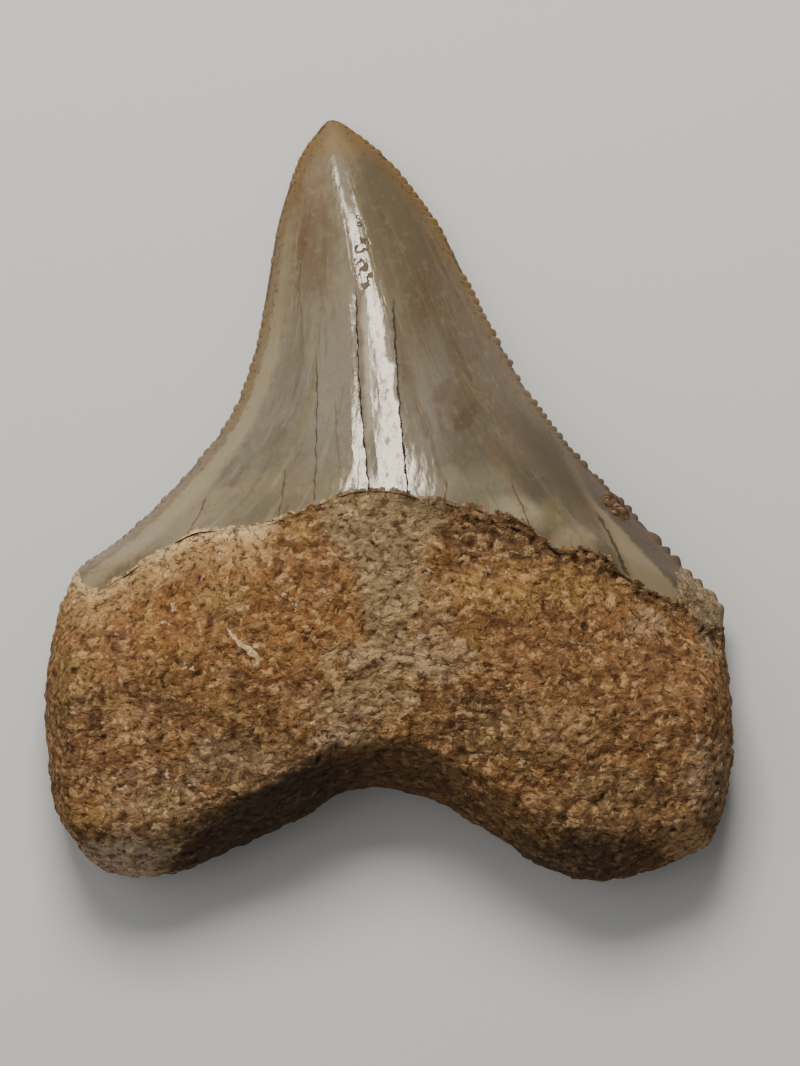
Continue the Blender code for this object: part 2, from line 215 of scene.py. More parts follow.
class Form:
    """The tooth's surface on a grid: rows from the root's base to the tip, columns across it."""

    def __init__(self, columns, root_rows, crown_rows):
        even = np.linspace(-1, 1, columns + 1)
        self.u = (1 + (even + np.sin(even * math.pi / 2)) / 2) / 2
        self.across = np.abs(2 * self.u - 1)[None, :]
        even = np.linspace(0, 1, root_rows + 1)
        self.v = even * (0.7 + 0.3 * even)
        even = np.linspace(0, 1, crown_rows + 1)
        self.t = even * (1.12 - 0.12 * even)
        self.columns, self.root_rows, self.crown_rows = columns, root_rows, crown_rows
        self.upper = self.sheet(NECK_SWELL, 1)
        self.lower = self.sheet(LABIAL_NECK, -1)

    def root_plan(self, neck):
        """(x, y) of the root: a Coons patch between its base, its margins and the neck."""
        u, v = self.u, self.v
        base, top = along(ROOT_BASE, u), along(neck, u)
        left, right = along(LEFT_MARGIN, v), along(RIGHT_MARGIN, v)
        u, v = u[None, :, None], v[:, None, None]
        ends = (1 - v) * ((1 - u) * base[0] + u * base[-1]) + v * ((1 - u) * top[0] + u * top[-1])
        return (1 - v) * base + v * top + (1 - u) * left[:, None] + u * right[:, None] - ends

    def crown_plan(self, neck):
        """(x, y) of the crown: rows that start as the neck's curve and straighten to the tip."""
        left = along(LEFT_CUTTING_EDGE, self.t)[:, None]
        right = along(RIGHT_CUTTING_EDGE, self.t)[:, None]
        curve = along(neck, self.u)
        u, t = self.u[None, :, None], self.t[:, None, None]
        sag = curve - ((1 - u[0]) * curve[0] + u[0] * curve[-1])
        return (1 - u) * left + u * right + sag * (1 - t) ** 1.5

    def blade(self, t):
        """Height share across the crown: full at the crest, thinning to a cutting edge."""
        across = 2 * self.u[None, :] - 1
        across = across + CREST_SHIFT * ease(t, 0.5, 0.8) * (1 - across**2)
        return (1 - across**2) ** (NECK_FULLNESS + (TIP_FULLNESS - NECK_FULLNESS) * t)

    def crown_heights(self, plan, side):
        steps = np.linalg.norm(np.diff(plan, axis=0), axis=2)
        run = np.concatenate([np.zeros((1, plan.shape[1])), np.cumsum(steps, axis=0)])
        t = run / run[-1]
        rim = RIM_AT_TIP + (RIM_AT_SHOULDER - RIM_AT_TIP) * (1 - t)
        if side > 0:
            return rim + (CROWN_HEIGHT - RIM_AT_SHOULDER) * (1 - t) ** CROWN_TAPER * self.blade(t)
        hollow = LABIAL_HOLLOW * (1 - ease(t, 0.5, 0.9)) - TIP_SINK * ease(t, 0.7, 0.95)
        depth = (1 - self.across**2) ** LABIAL_FULLNESS * (1 - ease(t, 0.9, 1.0))
        return rim - (rim - hollow) * depth

    def root_heights(self, plan, side):
        v = self.v[:, None]
        rim = RIM_AT_BASE + (RIM_AT_SHOULDER - RIM_AT_BASE) * v
        start = NECK_START + (NECK_START_AT_MARGIN - NECK_START) * self.across**2
        neck = ease(v, start, 1.0)
        to_base = np.linalg.norm(plan - plan[:1], axis=2)
        to_side = np.linalg.norm(plan - plan[:, :1], axis=2)
        to_side = np.minimum(to_side, np.linalg.norm(plan - plan[:, -1:], axis=2))
        inner = rounded(to_base, RELIEF_FADE) * rounded(to_side, RELIEF_FADE)
        rough = self.relief(plan, side) * inner * (1 - (1 - NECK_RELIEF) * neck)
        if side > 0:
            full = ROOT_HEIGHT - LOBE_DROP * self.across**1.5 - BASE_DROP * (1 - ease(v, 0.1, 0.8))
            slope = sloped(to_base, BASE_SLOPE)
            full = (full - rim) * slope + BASE_LIP[1] * rounded(to_base, BASE_LIP[0]) * (1 - slope)
            full = full * rounded(to_side, SIDE_ROUNDING)
            crown = (CROWN_HEIGHT - RIM_AT_SHOULDER) * self.blade(0.0)
            return rim + (1 - neck) * full + neck * crown + rough
        flat = lobe_flats(plan)
        face = LABIAL_HOLLOW - (LABIAL_HOLLOW + FLAT_SINK) * flat
        root = rounded(to_side, LABIAL_ROUNDING) * rounded(to_base, LABIAL_ROUNDING)
        crown = (1 - self.across**2) ** LABIAL_FULLNESS
        drop = (1 - neck) * root + neck * crown
        return rim - (rim - face) * drop + rough * LABIAL_RELIEF * (1 - flat)

    def relief(self, plan, side):
        """Lumps and hollows of the root, from the place in the plan."""
        places = np.dstack([plan, np.full(plan.shape[:2], 9.0 * side)])
        heights = sum(height * noise_at(places, wavelength) for wavelength, height in LUMPS)
        if side > 0:
            for x, y, half_width, half_length, depth in HOLLOWS:
                dx, dy = (plan[..., 0] - x) / half_width, (plan[..., 1] - y) / half_length
                heights -= depth * np.exp(-(dx**2) - dy**2)
        return heights

    def sheet(self, neck, side):
        root, crown = self.root_plan(neck), self.crown_plan(neck)
        plan = np.concatenate([root[:-1], crown])
        heights = np.concatenate([self.root_heights(root, side)[:-1], self.crown_heights(crown, side)])
        return np.dstack([plan, heights])


def lobe_flats(plan):
    """1 on the two places of the labial face that the root lies on, easing to 0 round them."""
    near = [np.hypot(plan[..., 0] - x, plan[..., 1] - y) for x, y in LOBE_FLATS]
    return 1 - ease(np.minimum(*near), FLAT_REACH * 0.3, FLAT_REACH)


def border_line(side):
    """The enamel's lower border as a dense line: crisp on the left, crumbled on the right."""
    line = smooth_line(LINGUAL_NECK if side > 0 else LABIAL_NECK)
    ends = ease(np.minimum(np.arange(len(line)), np.arange(len(line))[::-1]), 0, 40)
    places = np.dstack([line[:, :1], np.full((len(line), 1), 7.0 * side), np.zeros((len(line), 1))])
    crumbled = 0.14 + 0.5 * ease(line[:, 0], 3, 12)
    wander = noise_at(places, 1.9)[:, 0] + 0.6 * noise_at(places, 0.7, seed=3.1)[:, 0]
    line[:, 1] += wander * crumbled * ends
    return line


def above_border(grid, side):
    """How far each point is above the enamel's border, negative in the root."""
    line = border_line(side)
    return grid[..., 1] - np.interp(grid[..., 0], line[:, 0], line[:, 1])


def slide_to_border(grid, neck_row, side):
    """Slides the rows near the neck along their columns, so that the neck row lies on the border."""
    above = above_border(grid, side)
    rows = np.arange(len(grid))
    spacing = np.linalg.norm(np.gradient(grid[..., :2], axis=0), axis=2)
    for column in range(1, grid.shape[1] - 1):
        run = np.cumsum(spacing[:, column])
        run -= run[neck_row]
        near = np.abs(run) < NECK_BAND
        climb = np.maximum.accumulate(above[near, column])
        slide = np.interp(0, climb, rows[near]) - neck_row
        at = rows + slide * (1 - ease(np.abs(run), 0, NECK_BAND))
        for k in range(3):
            grid[:, column, k] = np.interp(at, rows, grid[:, column, k])


def grid_normals(grid):
    """Unit normals of a grid of points, on the side that the columns cross rows give."""
    normals = np.cross(np.gradient(grid, axis=1), np.gradient(grid, axis=0))
    return normals / np.maximum(np.linalg.norm(normals, axis=2, keepdims=True), 1e-9)


# --------------------------------------------------------------------------------------- mesh making


def deselect_all():
    bpy.ops.object.select_all(action="DESELECT")


def add_sheet(name, points, attributes):
    """A grid primitive whose vertices are moved to the points, in millimetres, with its attributes."""
    rows, columns = points.shape[0] - 1, points.shape[1] - 1
    deselect_all()
    bpy.ops.mesh.primitive_grid_add(x_subdivisions=columns, y_subdivisions=rows, size=2)
    made = bpy.context.object
    made.name = name
    flat = np.empty(len(made.data.vertices) * 3)
    made.data.vertices.foreach_get("co", flat)
    places = flat.reshape(-1, 3)
    column = np.rint((places[:, 0] + 1) / 2 * columns).astype(int)
    row = np.rint((places[:, 1] + 1) / 2 * rows).astype(int)
    made.data.vertices.foreach_set("co", (points[row, column] * MM).ravel())
    for label, values in attributes.items():
        layer = made.data.attributes.new(label, "FLOAT", "POINT")
        layer.data.foreach_set("value", values[row, column].astype(np.float32))
    made.data.uv_layers.remove(made.data.uv_layers[0])
    return made


def weld(name, sheets):
    """Joins the sheets to one closed mesh, shaded smooth, with its faces pointing outwards."""
    deselect_all()
    for sheet in sheets:
        sheet.select_set(True)
    bpy.context.view_layer.objects.active = sheets[0]
    bpy.ops.object.join()
    piece = bpy.context.object
    piece.name = name
    piece.data.name = name
    bpy.ops.object.mode_set(mode="EDIT")
    bpy.ops.mesh.select_all(action="SELECT")
    bpy.ops.mesh.remove_doubles(threshold=0.001 * MM)
    bpy.ops.mesh.normals_make_consistent(inside=False)
    bpy.ops.object.mode_set(mode="OBJECT")
    bpy.ops.object.shade_smooth()
    return piece


# ---------------------------------------------------------------------------------------------- root


def billow(points, wavelength, seed=0.0):
    """Rounded lumps between sharp crevices, from 0 in the crevices to about 1."""
    return np.minimum(np.abs(noise_at(points, wavelength, seed)) * 2.4, 1.0)


def oval(points, x, y, half_width, half_length, soft=0.35):
    """1 inside an oval of the plan and 0 outside it."""
    out = np.hypot((points[..., 0] - x) / half_width, (points[..., 1] - y) / half_length)
    return 1 - ease(out, 1 - soft, 1 + soft)


def grain(points):
    """Fine relief of the bare root: crumbs and flakes with crevices and small pits between them."""
    warp = np.stack([noise_at(points, 2.1, seed) for seed in (1.7, 5.3, 8.9)], axis=-1)
    bent = points + warp * 0.6
    crumbs = billow(bent, 3.0) * 0.45 + billow(bent, 1.5, 3.3) * 0.55
    flakes = noise_at(bent, 0.8, seed=4.4, octaves=2)
    pits = 1 - ease(cells_at(points + warp * 1.1, 2.8, seed=6.6), 0.04, 0.26)
    crumbled = sum(oval(points, *place) for place in CRUMBLED)
    height = 0.40 * (crumbs - 0.5) + 0.12 * flakes - 0.24 * pits
    return height * (1 + 0.9 * np.minimum(crumbled, 1)) - 0.2 * np.minimum(crumbled, 1)


def blurred(field, reach):
    """The field averaged over a square of grid cells."""
    for axis in (0, 1):
        pad = [(reach, reach) if k == axis else (0, 0) for k in (0, 1)]
        sums = np.cumsum(np.pad(field, pad, mode="edge"), axis=axis)
        sums = np.insert(sums, 0, 0, axis=axis)
        count = 2 * reach + 1
        high = np.take(sums, np.arange(count, sums.shape[axis]), axis=axis)
        low = np.take(sums, np.arange(0, sums.shape[axis] - count), axis=axis)
        field = (high - low) / count
    return field


def below_fold(points, side):
    """How far each point is below the fold between the root's face and its underside, which gets painted shade."""
    fold = smooth_line(BASAL_FOLD)
    if side < 0:
        return np.full(points.shape[:2], -5.0)
    return np.interp(points[..., 0], fold[:, 0], fold[:, 1], left=-60, right=-60) - points[..., 1]


def make_root():
    columns, rows = ROOT_GRID
    form = Form(columns, rows, 400)
    tucked = int(np.searchsorted(form.t, ROOT_UNDER_ENAMEL))
    last = rows + tucked
    outer = {}
    above = {}
    for side, grid in ((1, form.upper), (-1, form.lower)):
        outer[side] = grid[: last + 1].copy()
        above[side] = above_border(outer[side], side)
    normals = {side: grid_normals(outer[side]) * side for side in (1, -1)}
    outline = (np.s_[:, 0], np.s_[:, -1], np.s_[0, :])
    for edge in outline:
        shared = normals[1][edge] + normals[-1][edge]
        shared /= np.maximum(np.linalg.norm(shared, axis=-1, keepdims=True), 1e-9)
        normals[1][edge] = normals[-1][edge] = shared
    sheets = []
    for side in (1, -1):
        points, lift = outer[side], above[side]
        bare = 1 - ease(lift, -0.6, 0.2)
        height = grain(points)
        over = ease(lift, -1.0, -0.2) * (1 - ease(lift, 0.2, 1.3))
        over *= 0.3 + 0.7 * ease(points[..., 0], 2, 9)
        crumbs_over = over * (0.75 * billow(points, 1.5, 5.5) - 0.1)
        edge_drop = ENAMEL_EDGE * 0.8 * ease(lift, 0.4, 2.5)
        inner = np.ones(points.shape[:2])
        inner[:, 0] = inner[:, -1] = inner[0] = 0
        x = points[..., 0]
        ledge = LEDGE * (0.15 + 0.85 * ease(x, -15, -5) * (1 - ease(x, 28, 34)))
        sunk = (ledge * ease(lift, -0.8, 0.0) + edge_drop) * inner
        points += normals[side] * (height * bare + crumbs_over * inner - sunk)[..., None]
        under = ease(np.arange(last + 1), rows - 2, last)
        centre = points[:, columns // 2, :1]
        points[..., 0] += (centre - points[..., 0]) * 0.06 * under[:, None]
        points[..., 2] = np.maximum(points[..., 2], 0)
        outer[side] = points
        basal = below_fold(points, side)
        # The grain's height less its blur, for the root finish's painted shade in hollows and painted highlight on
        # tops.
        above[side] = ((height - blurred(height, 4)) * bare, lift, basal)
    for edge in outline:
        outer[1][edge] = outer[-1][edge] = (outer[1][edge] + outer[-1][edge]) / 2
    meeting = (outer[1][-1] + outer[-1][-1]) / 2
    for side in (1, -1):
        points = np.concatenate([outer[side], meeting[None]])
        cavity, lift, basal = (np.concatenate([field, field[-1:]]) for field in above[side])
        fields = {"cavity": cavity, "lift": lift, "basal": basal}
        fields["lingual"] = np.full(lift.shape, float(side > 0))
        sheets.append(add_sheet("sheet", points, fields))
    return weld("tooth_root", sheets)


# --------------------------------------------------------------------------------------------- crown


def serrations(distance, side, seed):
    """How far the cutting edge stands out at this distance along it: blunt, uneven lobes."""
    coarse = 1 - ease(distance, 12, 22) if side == "right" else np.zeros(len(distance))
    pitch = SERRATION_PITCH * (1 + 0.8 * coarse)
    phase = np.cumsum(np.gradient(distance) / pitch)
    phase = phase + 0.4 * np.array([noise.noise(Vector((d / 3.0, seed, 0))) for d in distance])
    lobe = np.abs(np.sin(math.pi * phase)) ** (0.6 + 0.5 * coarse)
    tooth = np.floor(phase)
    size = np.array([noise.cell(Vector((k + 0.5, seed, 0))) for k in tooth])
    size = np.where(np.abs(size) > 0.85, 0.2, (0.8 + 0.4 * size) * (1 + 0.4 * coarse))
    return SERRATION_HEIGHT[side] * lobe * size


def carry_on_below_neck(grid, neck_row):
    """Lets the crown's slope carry on below the neck, where the enamel's border crosses it."""
    below = grid[neck_row - 6 : neck_row]
    first, second = grid[neck_row], grid[neck_row + 12]
    run = np.linalg.norm(second[:, :2] - first[:, :2], axis=1)
    slope = (second[:, 2] - first[:, 2]) / np.maximum(run, 1e-6)
    gap = np.linalg.norm(below[..., :2] - first[None, :, :2], axis=2)
    inner = 1 - np.linspace(-1, 1, grid.shape[1]) ** 8
    share = (1 - ease(gap, 1.5, 4.0)) * inner
    below[..., 2] += (first[:, 2] - slope * gap - below[..., 2]) * share


def edge_distance(grid):
    """How far in plan each point of the blade is from the nearer cutting edge."""
    plan = grid[..., :2]
    edges = np.concatenate([plan[:, 0], plan[:, -1]])
    return np.array([np.linalg.norm(row[:, None] - edges, axis=2).min(axis=1) for row in plan])


def make_crown():
    columns, rows = CROWN_GRID
    form = Form(columns, 60, rows)
    form_rows = form.root_rows
    for side, grid in ((1, form.upper), (-1, form.lower)):
        carry_on_below_neck(grid, form_rows)
        slide_to_border(grid, form_rows, side)
    upper, lower = form.upper[form_rows:].copy(), form.lower[form_rows:].copy()
    outline = {}
    lobes = np.zeros(upper.shape[:2])
    for side, line, edge in (("left", LEFT_CUTTING_EDGE, 0), ("right", RIGHT_CUTTING_EDGE, -1)):
        distance = form.t * length_of(line)
        run = np.gradient(upper[:, edge, :2], axis=0)
        run /= np.linalg.norm(run, axis=1, keepdims=True)
        outward = np.stack([run[:, 1], -run[:, 0]], axis=1) * (-1 if side == "left" else 1)
        stand = serrations(distance, side, seed=2.5 if side == "left" else 7.5)
        fade = ease(distance, 0.8, 4.5) * (1 - 0.45 * ease(form.t, 0.5, 0.8))
        fade *= 1 - ease(form.t, 0.93, 0.99)
        outline[side] = (outward, stand * fade)
        half = np.s_[:, : columns // 2] if side == "left" else np.s_[:, columns // 2 :]
        lobes[half] = (stand / SERRATION_HEIGHT[side])[:, None]
    pieces = []
    for sheet_side, grid in ((1, upper), (-1, lower)):
        rim = edge_distance(grid)
        for side, edge in (("left", 0), ("right", -1)):
            gap = np.linalg.norm(grid - grid[:, edge : edge + 1 or None][:, :1], axis=2)
            outward, stand = outline[side]
            pull = np.exp(-((gap / SERRATION_REACH) ** 2))
            grid[..., :2] += outward[:, None] * (stand[:, None] * pull)[..., None]
        broken = np.max([oval(grid, *place) for place in DAMAGE], axis=0)
        lumps = billow(grid, 0.8) - 0.3
        grid[..., 2] += sheet_side * broken * (0.2 + 0.45 * lumps) * ease(rim, 0.0, 0.6)
        grid[..., :2] += (broken * 0.4 * lumps * (1 - ease(rim, 0.5, 1.5)))[..., None]
        pieces.append((sheet_side, grid, rim))
    sheets = []
    skirts = {}
    for sheet_side, grid, rim in pieces:
        skirt = grid[:1].copy()
        skirt[..., 2] -= sheet_side * ENAMEL_EDGE * np.sin(math.pi * form.u)[None] ** 0.5
        skirts[sheet_side] = skirt
    meeting = (skirts[1] + skirts[-1]) / 2
    for sheet_side, grid, rim in pieces:
        points = np.concatenate([meeting, skirts[sheet_side], grid])
        points[..., 2] = np.maximum(points[..., 2], 0)
        rim = np.concatenate([rim[:1], rim[:1], rim])
        lift = np.maximum(above_border(points, sheet_side), 0)
        fields = {"rim": rim, "lift": lift, "across": np.broadcast_to(2 * form.u - 1, rim.shape)}
        fields["lobe"] = np.concatenate([lobes[:1], lobes[:1], lobes])
        fields["damage"] = np.max([oval(points, *place, soft=0.95) for place in DAMAGE], axis=0)
        fields["lingual"] = np.full(rim.shape, float(sheet_side > 0))
        sheets.append(add_sheet("sheet", points, fields))
    return weld("tooth_crown", sheets)


# ---------------------------------------------------------------------------------------- materials


class Sock:
    """A number in a material, as a socket of its nodes, on which sums are written as in Python."""

    def __init__(self, finish, socket):
        self.finish, self.socket = finish, socket

    def sum(self, operation, *others, clamp=False):
        settings = {"operation": operation, "use_clamp": clamp}
        return self.finish.node("ShaderNodeMath", settings, [self, *others])

    def __add__(self, other):
        return self.sum("ADD", other)

    __radd__ = __add__

    def __sub__(self, other):
        return self.sum("SUBTRACT", other)

    def __rsub__(self, other):
        return self.finish.node("ShaderNodeMath", {"operation": "SUBTRACT"}, [other, self])

    def __mul__(self, other):
        return self.sum("MULTIPLY", other)

    __rmul__ = __mul__

    def __truediv__(self, other):
        return self.sum("DIVIDE", other)

    def __pow__(self, other):
        return self.sum("POWER", other)

    def __neg__(self):
        return self * -1

    def abs(self):
        return self.sum("ABSOLUTE")

    def least(self, other):
        return self.sum("MINIMUM", other)

    def most(self, other):
        return self.sum("MAXIMUM", other)

    def ease(self, start, end):
        """0 before start, 1 after end, and smooth between them; falling where end is the lower."""
        settings = {"interpolation_type": "SMOOTHSTEP"}
        low, high, a, b = (start, end, 0.0, 1.0) if start < end else (end, start, 1.0, 0.0)
        return self.finish.node("ShaderNodeMapRange", settings, [self, low, high, a, b])


class Finish:
    """A material under construction, with its nodes made by short calls."""

    def __init__(self, name, **constants):
        self.material = bpy.data.materials.new(name)
        self.material.use_nodes = True
        self.tree = self.material.node_tree
        self.shader = self.tree.nodes["Principled BSDF"]
        for label, value in constants.items():
            self.shader.inputs[label.replace("_", " ")].default_value = value
        coordinates = self.tree.nodes.new("ShaderNodeTexCoord")
        self.place = self.vector("SCALE", Sock(self, coordinates.outputs["Object"]), Scale=1 / MM)

    def node(self, kind, settings, inputs, output=0):
        """A node of this kind: its settings, its inputs by order or by name, and one output."""
        node = self.tree.nodes.new(kind)
        for label, value in settings.items():
            setattr(node, label, value)
        pairs = inputs.items() if isinstance(inputs, dict) else enumerate(inputs)
        for label, value in pairs:
            self.feed(node.inputs[label], value)
        return Sock(self, node.outputs[output])

    def feed(self, socket, value):
        if isinstance(value, Sock):
            self.tree.links.new(value.socket, socket)
        else:
            socket.default_value = value

    def vector(self, operation, *vectors, **named):
        node = self.tree.nodes.new("ShaderNodeVectorMath")
        node.operation = operation
        for socket, value in zip(node.inputs, vectors):
            self.feed(socket, value)
        for label, value in named.items():
            self.feed(node.inputs[label], value)
        return Sock(self, node.outputs[0])

    def part(self, vector, axis):
        return self.node("ShaderNodeSeparateXYZ", {}, [vector], output="XYZ".index(axis))

    def attribute(self, label):
        return self.node("ShaderNodeAttribute", {"attribute_name": label}, {}, output="Fac")

    def noise(self, place, size, detail=2.0, rough=0.5, output="Fac"):
        inputs = {"Vector": place, "Scale": 1 / size, "Detail": detail, "Roughness": rough}
        return self.node("ShaderNodeTexNoise", {}, inputs, output)

    def cells(self, place, size, output="Distance", feature="F1"):
        inputs = {"Vector": place, "Scale": 1 / size}
        return self.node("ShaderNodeTexVoronoi", {"feature": feature}, inputs, output)

    def moved(self, place, offset, stretch=(1, 1, 1)):
        return self.node("ShaderNodeMapping", {}, {"Vector": place, "Location": offset, "Scale": stretch})

    def warped(self, place, size, reach):
        """The place pushed about by coarse noise, so that what is drawn on it has ragged edges."""
        push = self.vector("SUBTRACT", self.noise(place, size, output="Color"), (0.5, 0.5, 0.5))
        return self.vector("ADD", place, self.vector("SCALE", push, Scale=reach))

    def mix(self, under, over, share, blend="MIX"):
        node = self.tree.nodes.new("ShaderNodeMix")
        node.data_type = "RGBA"
        node.blend_type = blend
        self.feed(node.inputs["Factor"], share)
        self.feed([s for s in node.inputs if s.name == "A" and s.type == "RGBA"][0], under)
        self.feed([s for s in node.inputs if s.name == "B" and s.type == "RGBA"][0], over)
        return Sock(self, [s for s in node.outputs if s.type == "RGBA"][0])

    def bump(self, height, distance, strength=1.0, under=None):
        inputs = {"Height": height, "Distance": distance * MM, "Strength": strength}
        if under is not None:
            inputs["Normal"] = under
        return self.node("ShaderNodeBump", {}, inputs)

    def blend(self, share, **constants):
        """Adds a second shader with these constants, which takes over where share is 1."""
        other = self.tree.nodes.new("ShaderNodeBsdfPrincipled")
        for label, value in constants.items():
            other.inputs[label].default_value = value
        both = [Sock(self, shader.outputs["BSDF"]) for shader in (self.shader, other)]
        mixed = self.node("ShaderNodeMixShader", {}, [share, *both])
        self.feed(self.tree.nodes["Material Output"].inputs["Surface"], mixed)
        return other

    def falloff(self, x, y, patch):
        """1 in the middle of an oval patch, 0 on its edge and negative outside it."""
        centre_x, centre_y, half_width, half_length = patch
        across, down = (x - centre_x) / half_width, (y - centre_y) / half_length
        return 1 - (across * across + down * down)


def tint(red, green, blue):
    """A display colour, each part from 0 to 255, as the linear colour that a shader takes."""
    parts = [c / 255 for c in (red, green, blue)]
    linear = [c / 12.92 if c <= 0.04045 else ((c + 0.055) / 1.055) ** 2.4 for c in parts]
    return (*linear, 1.0)


# Patches of the root's colour, one of them painted light on a shaded corner: centre x and y, half width, half
# length, colour and strength.
ROOT_PATCHES = [
    (-24, -13, 16, 8, tint(130, 90, 50), 0.8),
    (-33, -27, 9, 11, tint(122, 88, 58), 0.7),
    (-38, -22, 3, 5, tint(122, 98, 54), 0.6),
    (-20, -12, 5, 4, tint(126, 104, 64), 0.6),
    (-8, -15, 5, 8, tint(140, 98, 56), 0.6),
    (-27, -37, 9, 7, tint(128, 104, 76), 0.7),
    (-16, -30, 11, 4, tint(116, 92, 64), 0.6),
    (-3, -24, 9, 4, tint(144, 118, 84), 0.9),
    (-13, -22.5, 9, 2.4, tint(104, 64, 44), 0.7),
    (-9.6, -3.6, 3.4, 2.0, tint(126, 94, 50), 0.9),
    (12, -10, 8, 4, tint(140, 104, 58), 1.0),
    (23, -10, 6, 3.2, tint(138, 106, 60), 0.9),
    (4, -14, 5, 6, tint(134, 110, 76), 0.7),
    (30, -15, 3.2, 3.2, tint(158, 130, 98), 0.8),
    (17, -17, 9, 4, tint(116, 78, 50), 0.7),
    (19, -27, 9, 6, tint(130, 100, 66), 0.8),
    (33, -23, 9, 10, tint(120, 85, 54), 0.8),
    (27, -36, 12, 5, tint(108, 84, 58), 0.7),
    (38, -33, 4, 7, tint(126, 102, 80), 0.8),
    (10, -27, 7, 6, tint(86, 63, 42), 0.85),
    (38.4, -16, 2.2, 3.4, tint(128, 112, 90), 1.0),
    (-12.5, -18.5, 4.5, 4, tint(144, 100, 56), 0.6),
    (1.0, -18.8, 12, 3.4, tint(172, 144, 108), 0.85),
    (-11.5, -24, 4.5, 3.2, tint(152, 120, 82), 0.6),
    (-31, -25.5, 4, 4, tint(152, 118, 80), 0.5),
    (-16, -31.5, 3.5, 1.4, tint(92, 70, 48), 0.6),
    (-31, -43.0, 8.5, 4.0, tint(184, 160, 132), 0.9),
    (-20, -31.5, 8, 3.4, tint(116, 97, 76), 0.6),
    (-6, -28.2, 4.5, 2.2, tint(164, 140, 110), 0.7),
    # Painted light that lifts the shade of the rounded lower right corner.
    (36.0, -41.0, 4.5, 4.5, tint(172, 136, 98), 0.9),
    (22.5, -38.2, 6.5, 1.8, tint(72, 54, 38), 0.6),
]

# Small dark spots: centre x and y, half width, half length.
ROOT_SPOTS = [
    (-21.4, -14.2, 0.5, 1.3), (-32.6, -17.5, 1.0, 1.0), (-17.8, -20.6, 1.5, 0.6),
    (-35.0, -26.0, 1.1, 2.2), (-14.0, -26.5, 1.2, 0.7), (13.0, -14.6, 1.6, 0.8),
    (33.0, -18.0, 1.2, 1.0), (22.0, -21.0, 1.4, 0.8),
]

# Colours of the root's grain. The crevice colour is dirt and painted shade, the flake colour is also a painted
# highlight, and the underside colour is mostly painted shade with some dirt.
ROOT_BROWN = tint(126, 90, 54)
ROOT_DARK_BROWN = tint(104, 72, 42)
CREVICE_SHADE_AND_DIRT = tint(44, 27, 13)
FLAKE_AND_HIGHLIGHT = tint(196, 160, 112)
SPECK = tint(206, 180, 144)
BASAL_SHADE_AND_DIRT = tint(68, 54, 42)
SANDY = tint(176, 142, 96)
CREAM = tint(204, 174, 128)
OLIVE_GREY = tint(128, 112, 82)


def crumbs(finish, place):
    """Fine grain of flakes: a height from 0 in the crevices to 1, and a tone of its own per flake."""
    bent = finish.warped(finish.warped(place, 2.2, 1.6), 0.55, 0.6)
    bent = finish.moved(bent, (0, 0, 0), (0.85, 1.1, 1.0))
    coarse = finish.cells(bent, 0.86)
    coarse_tone = finish.part(finish.cells(bent, 0.86, output="Color"), "X")
    small = finish.cells(bent, 0.40)
    small_tone = finish.part(finish.cells(bent, 0.40, output="Color"), "X")
    worn = finish.noise(bent, 0.75, detail=4.0, rough=0.65)
    height = (1 - coarse) * 0.34 + (1 - small) * 0.22 + (worn - 0.5) * 1.5 + 0.22
    tone = coarse_tone * 0.45 + small_tone * 0.3 + worn.ease(0.3, 0.7) * 0.25
    return height, tone


def grained(finish, colour, height, tone, light=1.0):
    """The colour with its grain: flakes of their own tone, dirt and painted shade in the crevices, and painted
    highlight on top.
    """
    colour = finish.mix(colour, tint(78, 52, 30), tone.ease(0.48, 0.2) * 0.7)
    colour = finish.mix(colour, FLAKE_AND_HIGHLIGHT, tone.ease(0.55, 0.85) * 0.52 * light)
    # Crevices darkened: partly dirt, partly painted shade.
    colour = finish.mix(colour, CREVICE_SHADE_AND_DIRT, height.ease(0.42, 0.16) * 0.85)
    # Painted highlight on the highest grain.
    return finish.mix(colour, FLAKE_AND_HIGHLIGHT, height.ease(0.62, 0.95) * 0.35 * light)


